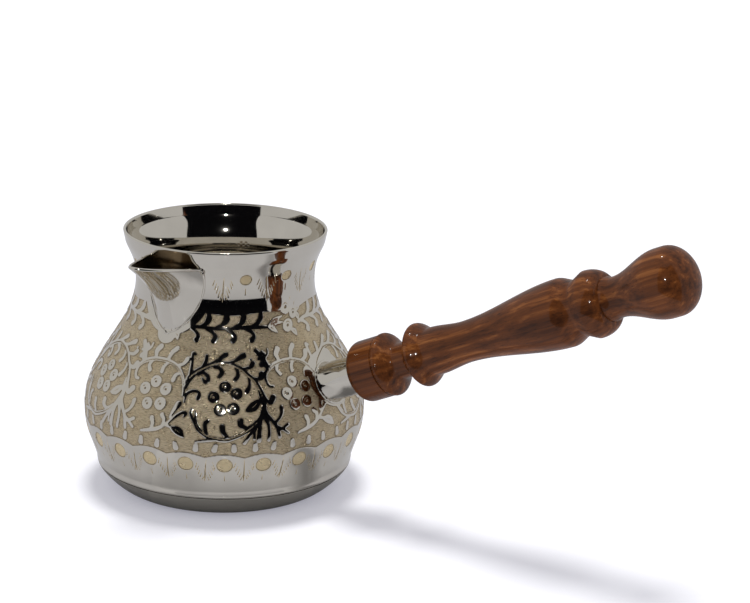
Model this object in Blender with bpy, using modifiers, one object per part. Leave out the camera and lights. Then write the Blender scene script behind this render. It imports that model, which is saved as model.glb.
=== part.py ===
"""Turkish coffee pot (cezve): a spun and nickel-plated brass pot with a brazed side beak,
a brazed handle socket and a turned wooden handle that screws into the socket.

Metres, +Z up. The origin is the centre of the flat base, +X is the side of the handle
and -Y is the side of the spout. Every turned piece is a profile with a Screw modifier.
"""
import math

import bmesh
import bpy
from mathutils import Vector

MM = 0.001

# ---- driving dimensions, in millimetres ---------------------------------------------
WALL = 1.0                    # thickness of the spun brass
GAP = 0.3                     # clearance between pieces that touch on the real pot

BASE_FLAT_RADIUS = 34.6       # flat that the pot stands on
SEAM_RADIUS = 45.6            # raised joint between the base pan and the body
SEAM_LOW = 9.0
SEAM_HIGH = 10.4
BELLY_RADIUS = 50.0
BELLY_HEIGHT = 29.4
WAIST_RADIUS = 31.5
WAIST_HEIGHT = 75.7
BAND_RADIUS = 35.1            # crease under the flared band of the mouth
BAND_HEIGHT = 89.4
RIM_RADIUS = 35.8             # thickened edge of the mouth
RIM_HEIGHT = 93.4
RIM_ROUNDING = 0.5

SPOUT_WALL = 0.9
SPOUT_LOW = 63.4              # lowest point of the beak on the neck
SPOUT_CORNER_HEIGHT = 86.6    # where the lip meets the neck
SPOUT_HALF_WIDTH = 12.6
SPOUT_TIP_REACH = 53.2        # distance of the lip's tip from the pot's axis
SPOUT_TIP_HEIGHT = 89.6

HANDLE_SLOPE = math.radians(24.5)
HANDLE_AXIS_HEIGHT = 24.4     # where the handle's axis crosses the pot's axis
SOCKET_RADIUS = 6.8
SOCKET_WALL = 0.9
SOCKET_FOOT_RADIUS = 7.5
SOCKET_END = 63.4             # distances along the handle's axis, from the pot's axis
WOOD_START = SOCKET_END + GAP
PLUG_START = 53.0
PLUG_LENGTH = 4.0
STUD_RADIUS = 2.5
STUD_START = 52.0
STUD_LENGTH = 41.0
TENON_RADIUS = 5.4
TENON_LENGTH = 5.6

STRAINER_RADIUS = 1.6         # holes through the neck behind the spout
STRAINER_PITCH = 5.0
STRAINER_HEIGHT = 77.0

POT_STEPS = 44                # steps around the turned pieces
HANDLE_STEPS = 24
SMALL_STEPS = 16
SPOUT_SECTION_STEPS = 14
SPOUT_RISE_STEPS = 8

# Turned outline of the handle, from its front face to its tip. Each station is its
# distance, its radius and the curve that leads to it.
HANDLE_STATIONS = (
    (0.0, 8.6, "start"),
    (2.6, 10.7, "swell"),     # collar with a rounded front edge
    (10.9, 10.7, "line"),
    (11.2, 10.2, "line"),     # fine groove
    (12.3, 11.0, "swell"),    # first bead
    (17.6, 6.2, "ease"),      # cove
    (21.5, 6.2, "line"),
    (26.1, 11.0, "ease"),     # second bead
    (31.5, 8.2, "ease"),
    (44.7, 7.0, "ease"),      # slim end of the grip
    (84.2, 11.5, "ease"),     # full end of the grip
    (90.9, 9.4, "ease"),      # sharp groove
    (95.1, 11.3, "line"),     # third bead, with a sharp front edge
    (101.5, 7.5, "fall"),
    (104.6, 6.8, "ease"),     # cove before the knob
    (122.0, 11.5, "ease"),    # pear-shaped knob
    (124.8, 11.5, "line"),
    (133.2, 0.0, "fall"),
)
SPAN_STEPS = {"line": 1, "swell": 3, "fall": 5, "ease": 5}


# ---- scene helpers --------------------------------------------------------------------
def clear_scene():
    for obj in list(bpy.data.objects):
        bpy.data.objects.remove(obj, do_unlink=True)


def new_collection(name):
    collection = bpy.data.collections.new(name)
    bpy.context.scene.collection.children.link(collection)
    return collection


def new_material(name, colour, metallic, roughness):
    material = bpy.data.materials.new(name)
    material.use_nodes = True
    shader = material.node_tree.nodes["Principled BSDF"]
    shader.inputs["Base Color"].default_value = (*colour, 1.0)
    shader.inputs["Metallic"].default_value = metallic
    shader.inputs["Roughness"].default_value = roughness
    material.diffuse_color = (*colour, 1.0)
    return material


def new_object(name, mesh, collection, material=None):
    obj = bpy.data.objects.new(name, mesh)
    collection.objects.link(obj)
    if material is not None:
        mesh.materials.append(material)
    return obj


def hide_as_cutter(obj):
    obj.hide_render = True
    obj.display_type = "WIRE"


def cut_with(obj, cutter):
    modifier = obj.modifiers.new("cut by " + cutter.name, "BOOLEAN")
    modifier.operation = "DIFFERENCE"
    modifier.solver = "EXACT"
    modifier.object = cutter


# ---- outlines, as lists of (radius, height) in millimetres ------------------------------
def bezier(start, start_handle, end_handle, end, steps):
    """Points of one cubic curve, without its first point."""
    points = []
    for index in range(1, steps + 1):
        t = index / steps
        weights = ((1 - t) ** 3, 3 * t * (1 - t) ** 2, 3 * t * t * (1 - t), t ** 3)
        corners = (start, start_handle, end_handle, end)
        radius = sum(weight * corner[0] for weight, corner in zip(weights, corners))
        height = sum(weight * corner[1] for weight, corner in zip(weights, corners))
        points.append((radius, height))
    return points


def offset_outline(points, distance):
    """The same outline moved sideways; positive is outwards on one that runs downwards."""
    moved = []
    for index, (radius, height) in enumerate(points):
        before = points[max(index - 1, 0)]
        after = points[min(index + 1, len(points) - 1)]
        along = Vector((after[0] - before[0], after[1] - before[1])).normalized()
        moved.append((radius - along.y * distance, height + along.x * distance))
    return moved


def neck_outline():
    """Outer side of the pot from the edge of the mouth down to the belly's widest point."""
    band = (BAND_RADIUS, BAND_HEIGHT)
    waist = (WAIST_RADIUS, WAIST_HEIGHT)
    belly = (BELLY_RADIUS, BELLY_HEIGHT)
    points = [(RIM_RADIUS, RIM_HEIGHT - RIM_ROUNDING), band]
    points += bezier(band, (BAND_RADIUS - 0.9, BAND_HEIGHT - 3.1),
                     (WAIST_RADIUS, WAIST_HEIGHT + 8.0), waist, 5)
    points += bezier(waist, (WAIST_RADIUS, WAIST_HEIGHT - 17.4),
                     (BELLY_RADIUS, BELLY_HEIGHT + 16.9), belly, 10)
    return points


def body_outline():
    """Outer side of the body, from the edge of the mouth down to the seam."""
    belly = (BELLY_RADIUS, BELLY_HEIGHT)
    taper = (SEAM_RADIUS - 0.2, SEAM_HIGH)
    points = neck_outline()
    points += bezier(belly, (BELLY_RADIUS, BELLY_HEIGHT - 8.2),
                     (taper[0] + 2.6, taper[1] + 8.8), taper, 5)
    return points


def base_outline():
    """Outer side of the base pan, from the seam down to the edge of the flat."""
    seam = (SEAM_RADIUS - 0.1, SEAM_LOW - GAP)
    flat = (BASE_FLAT_RADIUS, 0.0)
    return [seam] + bezier(seam, (SEAM_RADIUS - 0.3, SEAM_LOW - 1.4),
                           (BASE_FLAT_RADIUS + 4.3, 0.0), flat, 6)


def handle_outline():
    """Points (radius, distance) of the turned wood, from the front face to the tip."""
    points = [(HANDLE_STATIONS[0][1], HANDLE_STATIONS[0][0])]
    for before, station in zip(HANDLE_STATIONS, HANDLE_STATIONS[1:]):
        start, start_radius, _ = before
        end, end_radius, curve = station
        steps = SPAN_STEPS[curve]
        for index in range(1, steps + 1):
            t = index / steps
            if curve == "swell":
                t = 1.0 - math.cos(t * math.pi / 2)
                rise = math.sqrt(1.0 - (1.0 - t) ** 2)
            elif curve == "fall":
                t = math.sin(t * math.pi / 2)
                rise = 1.0 - math.sqrt(max(0.0, 1.0 - t * t))
            elif curve == "ease":
                rise = t * t * (3.0 - 2.0 * t)
            else:
                rise = t
            points.append((start_radius + (end_radius - start_radius) * rise,
                           start + (end - start) * t))
    return points


# ---- turned pieces ----------------------------------------------------------------------
def turned(name, points, steps, closed, collection, material=None):
    """Turn an outline in the XZ plane around Z. A closed outline makes a ring."""
    mesh = bpy.data.meshes.new(name)
    vertices = [(radius * MM, 0.0, height * MM) for radius, height in points]
    edges = [(index, index + 1) for index in range(len(points) - 1)]
    if closed:
        edges.append((len(points) - 1, 0))
    mesh.from_pydata(vertices, edges, [])
    obj = new_object(name, mesh, collection, material)
    screw = obj.modifiers.new("turn", "SCREW")
    screw.axis = "Z"
    screw.angle = math.tau
    screw.steps = steps
    screw.render_steps = steps
    screw.use_merge_vertices = True
    screw.merge_threshold = 0.00001
    screw.use_smooth_shade = True
    return obj


def make_cylinder(name, radius, low, high, steps, collection, material=None):
    """A cylinder around local Z between two heights, in millimetres."""
    mesh = bpy.data.meshes.new(name)
    shape = bmesh.new()
    bmesh.ops.create_cone(shape, cap_ends=True, segments=steps, radius1=radius * MM,
                          radius2=radius * MM, depth=(high - low) * MM)
    bmesh.ops.translate(shape, verts=shape.verts, vec=(0.0, 0.0, (low + high) / 2 * MM))
    shape.to_mesh(mesh)
    shape.free()
    return new_object(name, mesh, collection, material)


def shade_round(obj):
    obj.data.shade_smooth()
    obj.data.set_sharp_from_angle(angle=math.radians(35))


# ---- pot --------------------------------------------------------------------------------
def make_pot_body(collection, cutters, material):
    outer = body_outline()
    inner = [point for point in reversed(offset_outline(outer, -WALL))]
    edge = []
    for degrees in (135, 90, 45):
        angle = math.radians(degrees)
        edge.append((RIM_RADIUS - RIM_ROUNDING + RIM_ROUNDING * math.cos(angle),
                     RIM_HEIGHT - RIM_ROUNDING + RIM_ROUNDING * math.sin(angle)))
    seam = [(SEAM_RADIUS, SEAM_HIGH - 0.3), (SEAM_RADIUS, SEAM_LOW),
            (SEAM_RADIUS - WALL, SEAM_LOW)]
    body = turned("pot_body", edge + outer + seam + inner, POT_STEPS, True,
                  collection, material)
    for number, (across, height) in enumerate(strainer_places()):
        drill = make_cylinder("strainer_drill_%d" % number, STRAINER_RADIUS,
                              WAIST_RADIUS - 6.0, WAIST_RADIUS + 6.0, 12, cutters)
        drill.rotation_euler = (math.pi / 2, 0.0, 0.0)
        drill.location = (across * MM, 0.0, height * MM)
        hide_as_cutter(drill)
        cut_with(body, drill)
    return body


def strainer_places():
    """One hole in the middle and six around it, behind the spout."""
    places = [(0.0, STRAINER_HEIGHT)]
    for index in range(6):
        angle = math.tau * index / 6
        places.append((STRAINER_PITCH * math.cos(angle),
                       STRAINER_HEIGHT + STRAINER_PITCH * math.sin(angle)))
    return places


def make_pot_base(collection, material):
    """Pressed base pan whose upper lip laps inside the foot of the body."""
    outer = base_outline()
    lip_outer = SEAM_RADIUS - WALL - GAP - 0.2
    lip_inner = lip_outer - 0.8
    inner = offset_outline(outer, -WALL)
    points = [(lip_outer, SEAM_HIGH - 0.6), (lip_outer, SEAM_LOW - GAP)]
    points += outer
    points += [(0.0, 0.0), (0.0, WALL), (BASE_FLAT_RADIUS, WALL)]
    points += [point for point in reversed(inner[1:-1]) if point[1] > WALL]
    points += [(lip_inner, SEAM_LOW - GAP - 0.8), (lip_inner, SEAM_HIGH - 0.6)]
    return turned("pot_base", points, POT_STEPS, True, collection, material)


def make_outside_cutter(cutters):
    """The whole inside of the pot, grown by the gap that its neighbours keep."""
    skin = offset_outline(body_outline(), GAP)
    points = [(0.0, skin[0][1])] + skin + [(0.0, skin[-1][1])]
    cutter = turned("pot_space", points, POT_STEPS, False, cutters)
    hide_as_cutter(cutter)
    return cutter


# ---- spout ------------------------------------------------------------------------------
def neck_radius(height):
    """Outer radius of the neck at a height, read from the outline."""
    outline = neck_outline()
    for (top_radius, top), (low_radius, low) in zip(outline, outline[1:]):
        if low <= height <= top:
            return low_radius + (top_radius - low_radius) * (height - low) / (top - low)
    return BAND_RADIUS


def spout_section(rise):
    """One section of the beak, from its right foot around the nose to its left foot."""
    foot_height = SPOUT_LOW + (SPOUT_CORNER_HEIGHT - SPOUT_LOW) * rise
    half_width = SPOUT_HALF_WIDTH * (1.0 - (1.0 - rise) ** 2) ** 0.6
    nose_reach, nose_height = nose_point(rise)
    foot_reach = math.sqrt(neck_radius(foot_height) ** 2 - half_width ** 2)
    roundness = 1.2 - 0.5 * rise
    points = [(half_width, foot_reach - 2.0, foot_height)]
    for index in range(SPOUT_SECTION_STEPS + 1):
        side = 1.0 - 2.0 * index / SPOUT_SECTION_STEPS
        fall = math.hypot(roundness, side) - roundness
        fall /= math.hypot(roundness, 1.0) - roundness
        points.append((half_width * side,
                       nose_reach + (foot_reach - nose_reach) * fall,
                       nose_height + (foot_height - nose_height) * abs(side) ** 1.5))
    points.append((-half_width, foot_reach - 2.0, foot_height))
    return points


def nose_point(rise):
    """Reach and height of the beak's front line: steep below, leaning out to the lip."""
    low = (neck_radius(SPOUT_LOW) - 0.6, SPOUT_LOW)
    tip = (SPOUT_TIP_REACH, SPOUT_TIP_HEIGHT)
    curve = [low] + bezier(low, (low[0] + 1.6, SPOUT_LOW + 12.0),
                           (tip[0] - 13.0, tip[1] - 9.5), tip, 24)
    place = rise * (len(curve) - 1)
    index = min(int(place), len(curve) - 2)
    part = place - index
    return tuple(a + (b - a) * part for a, b in zip(curve[index], curve[index + 1]))


def make_spout(collection, outside_cutter, material):
    """Beak lofted from its sections, thickened inwards and trimmed to the neck."""
    mesh = bpy.data.meshes.new("spout")
    shape = bmesh.new()
    rows = []
    for step in range(SPOUT_RISE_STEPS + 1):
        rise = 0.02 + 0.98 * (step / SPOUT_RISE_STEPS) ** 1.2
        row = [shape.verts.new((across * MM, -reach * MM, height * MM))
               for across, reach, height in spout_section(rise)]
        rows.append(row)
    for low_row, high_row in zip(rows, rows[1:]):
        for index in range(len(low_row) - 1):
            shape.faces.new((low_row[index + 1], low_row[index],
                             high_row[index], high_row[index + 1]))
    shape.to_mesh(mesh)
    shape.free()
    spout = new_object("spout", mesh, collection, material)
    thickness = spout.modifiers.new("thickness", "SOLIDIFY")
    thickness.thickness = SPOUT_WALL * MM
    thickness.offset = -1.0
    cut_with(spout, outside_cutter)
    shade_round(spout)
    return spout


# ---- handle -----------------------------------------------------------------------------
def make_handle_axis(collection):
    """Empty whose local Z is the handle's axis, with its origin on the pot's axis."""
    axis = bpy.data.objects.new("handle_axis", None)
    collection.objects.link(axis)
    axis.location = (0.0, 0.0, HANDLE_AXIS_HEIGHT * MM)
    axis.rotation_euler = (0.0, math.pi / 2 - HANDLE_SLOPE, 0.0)
    return axis


def make_handle_socket(collection, outside_cutter, material):
    """Tube with a flared foot, trimmed to the belly."""
    inner_radius = SOCKET_RADIUS - SOCKET_WALL
    foot = 47.5
    points = [(SOCKET_RADIUS, SOCKET_END)]
    points += [(SOCKET_RADIUS, 51.8)]
    points += bezier((SOCKET_RADIUS, 51.8), (SOCKET_RADIUS, 51.2),
                     (SOCKET_RADIUS + 0.3, 50.9), (SOCKET_FOOT_RADIUS, 50.7), 4)
    points += [(SOCKET_FOOT_RADIUS, foot), (inner_radius, foot), (inner_radius, SOCKET_END)]
    socket = turned("handle_socket", points, HANDLE_STEPS, True, collection, material)
    cut_with(socket, outside_cutter)
    return socket


def make_socket_plug(collection, material):
    """Threaded brass plug brazed inside the socket."""
    outer_radius = SOCKET_RADIUS - SOCKET_WALL - GAP
    bore = STUD_RADIUS + GAP
    end = PLUG_START + PLUG_LENGTH
    points = [(outer_radius, end), (outer_radius, PLUG_START), (bore, PLUG_START), (bore, end)]
    return turned("socket_plug", points, SMALL_STEPS, True, collection, material)


def make_handle_stud(collection, material):
    """Threaded rod that draws the wooden handle against the socket."""
    end = STUD_START + STUD_LENGTH
    chamfer = 0.5
    points = [(0.0, end), (STUD_RADIUS - chamfer, end), (STUD_RADIUS, end - chamfer),
              (STUD_RADIUS, STUD_START + chamfer), (STUD_RADIUS - chamfer, STUD_START),
              (0.0, STUD_START)]
    return turned("handle_stud", points, SMALL_STEPS, False, collection, material)


def make_wooden_handle(collection, material):
    """One turned piece with a tenon in the socket and a bore for the stud."""
    bore = STUD_RADIUS + GAP
    bore_end = STUD_START + STUD_LENGTH + 0.5
    outline = [(radius, WOOD_START + distance) for radius, distance in handle_outline()]
    points = [point for point in reversed(outline)]
    points += [(TENON_RADIUS, WOOD_START), (TENON_RADIUS, WOOD_START - TENON_LENGTH),
               (bore, WOOD_START - TENON_LENGTH), (bore, bore_end), (0.0, bore_end)]
    return turned("wooden_handle", points, HANDLE_STEPS, False, collection, material)


def main():
    clear_scene()
    pieces = new_collection("coffee_pot_cezve")
    cutters = new_collection("cutters")

    nickel = new_material("nickel_plate", (0.66, 0.63, 0.60), 1.0, 0.12)
    brass = new_material("brass", (0.72, 0.52, 0.24), 1.0, 0.3)
    steel = new_material("steel", (0.55, 0.55, 0.56), 1.0, 0.35)
    wood = new_material("lacquered_wood", (0.16, 0.06, 0.025), 0.0, 0.25)

    outside_cutter = make_outside_cutter(cutters)
    make_pot_body(pieces, cutters, nickel)
    make_pot_base(pieces, nickel)
    make_spout(pieces, outside_cutter, nickel)

    axis = make_handle_axis(pieces)
    turned_on_axis = (
        make_handle_socket(pieces, outside_cutter, nickel),
        make_socket_plug(pieces, brass),
        make_handle_stud(pieces, steel),
        make_wooden_handle(pieces, wood),
    )
    for obj in turned_on_axis:
        obj.parent = axis


main()
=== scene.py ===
"""Looks of a Turkish coffee pot: a nickel-plated brass pot whose plating is cut away around
scrollwork, a plain brazed beak, a tubular socket and a turned, lacquered wooden handle.

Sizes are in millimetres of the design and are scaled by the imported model's belly radius.
"""
import math
import random

import bmesh
import bpy
import numpy as np
from mathutils import Matrix, Vector


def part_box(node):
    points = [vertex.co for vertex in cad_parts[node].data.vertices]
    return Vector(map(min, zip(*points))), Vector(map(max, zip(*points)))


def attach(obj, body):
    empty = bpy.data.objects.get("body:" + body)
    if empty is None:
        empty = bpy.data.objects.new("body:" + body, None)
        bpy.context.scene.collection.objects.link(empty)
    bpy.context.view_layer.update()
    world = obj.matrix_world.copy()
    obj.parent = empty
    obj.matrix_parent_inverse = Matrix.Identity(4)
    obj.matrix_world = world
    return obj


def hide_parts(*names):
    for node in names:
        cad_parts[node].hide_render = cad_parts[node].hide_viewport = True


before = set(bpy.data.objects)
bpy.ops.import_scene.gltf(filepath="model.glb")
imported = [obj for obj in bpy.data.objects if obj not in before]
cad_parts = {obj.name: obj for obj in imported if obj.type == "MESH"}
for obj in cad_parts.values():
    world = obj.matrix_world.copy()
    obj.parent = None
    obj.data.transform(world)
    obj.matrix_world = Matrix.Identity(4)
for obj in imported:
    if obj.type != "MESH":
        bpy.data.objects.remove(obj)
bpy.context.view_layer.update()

BODY_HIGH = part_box("pot_body")[1]
BASE_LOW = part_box("pot_base")[0]

# ---- driving dimensions, in millimetres ------------------------------------------------
BELLY_RADIUS = 50.0
MM = BODY_HIGH.x / BELLY_RADIUS           # metres in one millimetre of the design
FLOOR = BASE_LOW.z                        # height of the surface that the pot stands on
RIM_HEIGHT = (BODY_HIGH.z - FLOOR) / MM

WALL = 1.0
GAP = 0.3
BASE_FLAT_RADIUS = 34.6
SEAM_RADIUS = 45.6
SEAM_LOW = 9.0
SEAM_HIGH = 10.4
LAP_HEIGHT = 8.74                         # the body's lower edge, just above the base pan
BELLY_HEIGHT = 29.4
WAIST_RADIUS = 31.5
WAIST_HEIGHT = 75.7
BAND_RADIUS = 35.1
BAND_HEIGHT = 89.4
RIM_RADIUS = 35.8
RIM_ROUNDING = 0.5

SPOUT_WALL = 0.9
SPOUT_LOW = 63.4
SPOUT_CORNER_HEIGHT = 86.6
SPOUT_HALF_WIDTH = 12.6
SPOUT_TIP_REACH = 53.2
SPOUT_TIP_HEIGHT = 89.6
SPOUT_SIDE = math.radians(-90.0)          # azimuth of the beak, from +X towards +Y
LIP_RADIUS = 0.56                         # rolled edge of the beak

HANDLE_SLOPE = math.radians(24.5)
HANDLE_AXIS_HEIGHT = 24.4
SOCKET_RADIUS = 6.8
SOCKET_WALL = 0.9
SOCKET_END = 63.4
WOOD_START = SOCKET_END + GAP
TENON_RADIUS = 5.4
TENON_LENGTH = 5.6
BORE_RADIUS = 2.8
BORE_END = 93.5

STRAINER_RADIUS = 1.6
STRAINER_PITCH = 5.0
STRAINER_HEIGHT = 77.0

# Turned outline of the handle: distance from its front face, radius, and the curve that
# leads to it from the station before.
HANDLE_STATIONS = (
    (0.0, 8.6, "start"),
    (2.6, 10.7, "swell"),
    (10.9, 10.7, "line"),
    (11.2, 10.2, "line"),
    (12.3, 11.0, "swell"),
    (17.6, 6.2, "ease"),
    (21.5, 6.2, "line"),
    (26.1, 11.0, "ease"),
    (31.5, 8.2, "ease"),
    (44.7, 7.0, "ease"),
    (84.2, 11.5, "ease"),
    (90.9, 9.4, "ease"),
    (95.1, 11.3, "line"),
    (101.5, 7.5, "fall"),
    (104.6, 6.8, "ease"),
    (122.0, 11.5, "ease"),
    (124.8, 11.5, "line"),
    (133.2, 0.0, "fall"),
)

# ---- the engraving, in millimetres -----------------------------------------------------
COLUMNS = 1012                            # steps around the engraved wall
ROW_STEP = 0.32                           # steps up the engraved wall
ENGRAVED_LOW = 16.5                       # heights between which the wall is cut finely
ENGRAVED_HIGH = 87.0
GROUND_DEPTH = 0.17                       # how deep the ground is cut below the plating
GROUND_SLOPE = 0.28                       # width of the cut's sloping edge
BURR = 0.14                               # how much wider than drawn the plating stands
GROUND_LOW = 25.4                         # cusps of the ground's lower border
GROUND_HIGH = 70.6
SCALLOP_RISE = 1.3

MEDALLIONS = 11                           # large and small by turns, two small ones at the back
MEDALLION_HEIGHT = 44.8
MEDALLION_AZIMUTH = math.radians(-54.2)
DROPS = 23                                # dots and sprigs around the foot of the belly
DROP_AZIMUTH = math.radians(-54.7)
DROP_HEIGHT = 22.4
NECK_DROPS = 13
NECK_DROP_AZIMUTH = math.radians(-42.3)
NECK_DROP_HEIGHT = 83.0
EARS = 5                                  # leafy garlands around the shoulder
EAR_AZIMUTH = math.radians(-56.0)
EAR_HEIGHT = 66.2
SPOUT_MARGIN = 3.9                        # plain plating left around the beak
SOCKET_MARGIN_RADIUS = 10.2               # and around the socket
SOCKET_HEIGHT = 46.4


# ---- meshes ----------------------------------------------------------------------------
def circle(radius, height, steps):
    return [(radius * math.cos(angle), radius * math.sin(angle), height)
            for angle in (math.tau * step / steps for step in range(steps))]


def new_object(name, mesh):
    obj = bpy.data.objects.new(name, mesh)
    bpy.context.scene.collection.objects.link(obj)
    return obj


def mesh_from(name, points, faces, matrix=Matrix.Identity(4)):
    """An object from points in millimetres, smooth but for its sharp edges."""
    mesh = bpy.data.meshes.new(name)
    mesh.from_pydata([matrix @ (Vector(point) * MM) for point in points], [], faces)
    mesh.validate()
    mesh.shade_smooth()
    mesh.set_sharp_from_angle(angle=math.radians(40))
    return new_object(name, mesh)


def bands(rings, around):
    """Faces between rings of equal length. Around joins the last ring to the first."""
    count = len(rings[0])
    faces = []
    for ring in range(len(rings) if around else len(rings) - 1):
        following = (ring + 1) % len(rings)
        for side in range(count):
            after = (side + 1) % count
            faces.append((ring * count + side, ring * count + after,
                          following * count + after, following * count + side))
    return faces


def loft(name, rings, matrix=Matrix.Identity(4), around=True, cap=False):
    count = len(rings[0])
    points = [point for ring in rings for point in ring]
    faces = bands(rings, around)
    if cap:
        faces.append(tuple(reversed(range(count))))
        faces.append(tuple(range((len(rings) - 1) * count, len(rings) * count)))
    return mesh_from(name, points, faces, matrix)


def turned(name, outline, steps, matrix=Matrix.Identity(4)):
    """Turn a closed outline of (radius, height), counter-clockwise with the axis on its left.
    An outline that starts and ends on the axis is closed by its two poles."""
    poles = outline[0][0] == 0.0 and outline[-1][0] == 0.0
    walls = outline[1:-1] if poles else outline
    rings = [circle(radius, height, steps) for radius, height in walls]
    if not poles:
        return loft(name, rings, matrix)
    points = [point for ring in rings for point in ring]
    first, last = len(points), len(points) + 1
    points += [(0.0, 0.0, outline[0][1]), (0.0, 0.0, outline[-1][1])]
    faces = bands(rings, False)
    top = (len(rings) - 1) * steps
    for side in range(steps):
        after = (side + 1) % steps
        faces.append((first, after, side))
        faces.append((last, top + side, top + after))
    return mesh_from(name, points, faces, matrix)


def tube(name, path, radii, sides=14):
    """A round bar along a path, with its own radius at each point and flat ends."""
    path = [Vector(point) for point in path]
    rings = []
    up = Vector((0.0, 0.0, 1.0))
    for index, centre in enumerate(path):
        before = path[max(index - 1, 0)]
        after = path[min(index + 1, len(path) - 1)]
        along = (after - before).normalized()
        across = along.cross(up).normalized()
        over = across.cross(along)
        ring = []
        for side in range(sides):
            angle = math.tau * side / sides
            ring.append(centre + radii[index] * (across * math.cos(angle)
                                                 + over * math.sin(angle)))
        rings.append(ring)
    return loft(name, rings, around=False, cap=True)


def closed_tube(name, path, radii, sides=14):
    """A ring along a closed path around a centre, with its own radius at each point."""
    path = [Vector(point) for point in path]
    centre = sum(path, Vector()) / len(path)
    rings = []
    for index, point in enumerate(path):
        along = (path[(index + 1) % len(path)] - path[index - 1]).normalized()
        outwards = point - centre
        outwards = (outwards - along * outwards.dot(along)).normalized()
        over = along.cross(outwards)
        rings.append([point + radii[index] * (outwards * math.cos(angle)
                                              + over * math.sin(angle))
                      for angle in (math.tau * side / sides for side in range(sides))])
    return loft(name, rings)


def join(name, objects):
    """One object from several, under a new name."""
    target = objects[0]
    with bpy.context.temp_override(active_object=target, selected_editable_objects=objects):
        bpy.ops.object.join()
    target.name = name
    target.data.name = name
    return target


def face_outwards(obj):
    shape = bmesh.new()
    shape.from_mesh(obj.data)
    bmesh.ops.recalc_face_normals(shape, faces=shape.faces)
    shape.to_mesh(obj.data)
    shape.free()


# ---- outlines, as lists of (radius, height) in millimetres -----------------------------
def bezier(start, start_handle, end_handle, end, steps):
    """Points of one cubic curve, without its first point."""
    points = []
    for index in range(1, steps + 1):
        t = index / steps
        weights = ((1 - t) ** 3, 3 * t * (1 - t) ** 2, 3 * t * t * (1 - t), t ** 3)
        corners = (start, start_handle, end_handle, end)
        points.append((sum(w * corner[0] for w, corner in zip(weights, corners)),
                       sum(w * corner[1] for w, corner in zip(weights, corners))))
    return points


def offset_outline(points, distance):
    """The same outline moved sideways; positive is outwards on one that runs downwards."""
    moved = []
    for index, (radius, height) in enumerate(points):
        before = points[max(index - 1, 0)]
        after = points[min(index + 1, len(points) - 1)]
        along = Vector((after[0] - before[0], after[1] - before[1])).normalized()
        moved.append((radius - along.y * distance, height + along.x * distance))
    return moved


def neck_outline(steps):
    """Outer side of the pot from the edge of the mouth down to the belly's widest point."""
    band = (BAND_RADIUS, BAND_HEIGHT)
    waist = (WAIST_RADIUS, WAIST_HEIGHT)
    belly = (BELLY_RADIUS, BELLY_HEIGHT)
    rim = (RIM_RADIUS, RIM_HEIGHT - RIM_ROUNDING)
    points = [(rim[0] + (band[0] - rim[0]) * t, rim[1] + (band[1] - rim[1]) * t)
              for t in (0.0, 0.04, 0.1, 0.3, 0.7, 0.9, 0.96, 1.0)]
    points += bezier(band, (BAND_RADIUS - 0.9, BAND_HEIGHT - 3.1),
                     (WAIST_RADIUS, WAIST_HEIGHT + 8.0), waist, steps)
    points += bezier(waist, (WAIST_RADIUS, WAIST_HEIGHT - 17.4),
                     (BELLY_RADIUS, BELLY_HEIGHT + 16.9), belly, 2 * steps)
    return points


def body_outline(steps):
    """Outer side of the body, from the edge of the mouth down to the seam."""
    taper = (SEAM_RADIUS - 0.2, SEAM_HIGH)
    return neck_outline(steps) + bezier(
        (BELLY_RADIUS, BELLY_HEIGHT), (BELLY_RADIUS, BELLY_HEIGHT - 8.2),
        (taper[0] + 2.6, taper[1] + 8.8), taper, steps)


class Outline:
    """The body's outer wall as smooth functions of the height."""

    def __init__(self):
        points = np.array(body_outline(400))[::-1]
        self.radii = points[:, 0]
        self.heights = points[:, 1]
        steps = np.hypot(np.diff(self.radii), np.diff(self.heights))
        self.arcs = np.concatenate(([0.0], np.cumsum(steps)))

    def radius(self, height):
        return np.interp(height, self.heights, self.radii)

    def arc(self, height):
        """Distance along the wall from the seam up to a height."""
        return np.interp(height, self.heights, self.arcs)

    def at_arc(self, arc):
        return np.interp(arc, self.arcs, self.radii), np.interp(arc, self.arcs, self.heights)


OUTLINE = Outline()


def handle_outline(fineness):
    """Points (radius, distance) of the turned wood, from the front face to the tip."""
    counts = {"line": 1, "swell": 3 * fineness, "fall": 5 * fineness, "ease": 5 * fineness}
    points = [(HANDLE_STATIONS[0][1], HANDLE_STATIONS[0][0])]
    for before, station in zip(HANDLE_STATIONS, HANDLE_STATIONS[1:]):
        start, start_radius, _ = before
        end, end_radius, curve = station
        for index in range(1, counts[curve] + 1):
            t = index / counts[curve]
            if curve == "swell":
                t = 1.0 - math.cos(t * math.pi / 2)
                rise = math.sqrt(1.0 - (1.0 - t) ** 2)
            elif curve == "fall":
                t = math.sin(t * math.pi / 2)
                rise = 1.0 - math.sqrt(max(0.0, 1.0 - t * t))
            elif curve == "ease":
                rise = t * t * (3.0 - 2.0 * t)
            else:
                rise = t
            points.append((start_radius + (end_radius - start_radius) * rise,
                           start + (end - start) * t))
    return points


# ---- spout shape -----------------------------------------------------------------------
def spout_half_width(rise):
    return SPOUT_HALF_WIDTH * (1.0 - (1.0 - rise) ** 2) ** 0.6


def nose_point(rise):
    """Reach and height of the beak's front line: steep below, leaning out to the lip."""
    low = (float(OUTLINE.radius(SPOUT_LOW)) - 0.6, SPOUT_LOW)
    tip = (SPOUT_TIP_REACH, SPOUT_TIP_HEIGHT)
    curve = [low] + bezier(low, (low[0] + 1.6, SPOUT_LOW + 12.0),
                           (tip[0] - 13.0, tip[1] - 9.5), tip, 96)
    place = rise * (len(curve) - 1)
    index = min(int(place), len(curve) - 2)
    part = place - index
    return tuple(a + (b - a) * part for a, b in zip(curve[index], curve[index + 1]))


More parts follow.
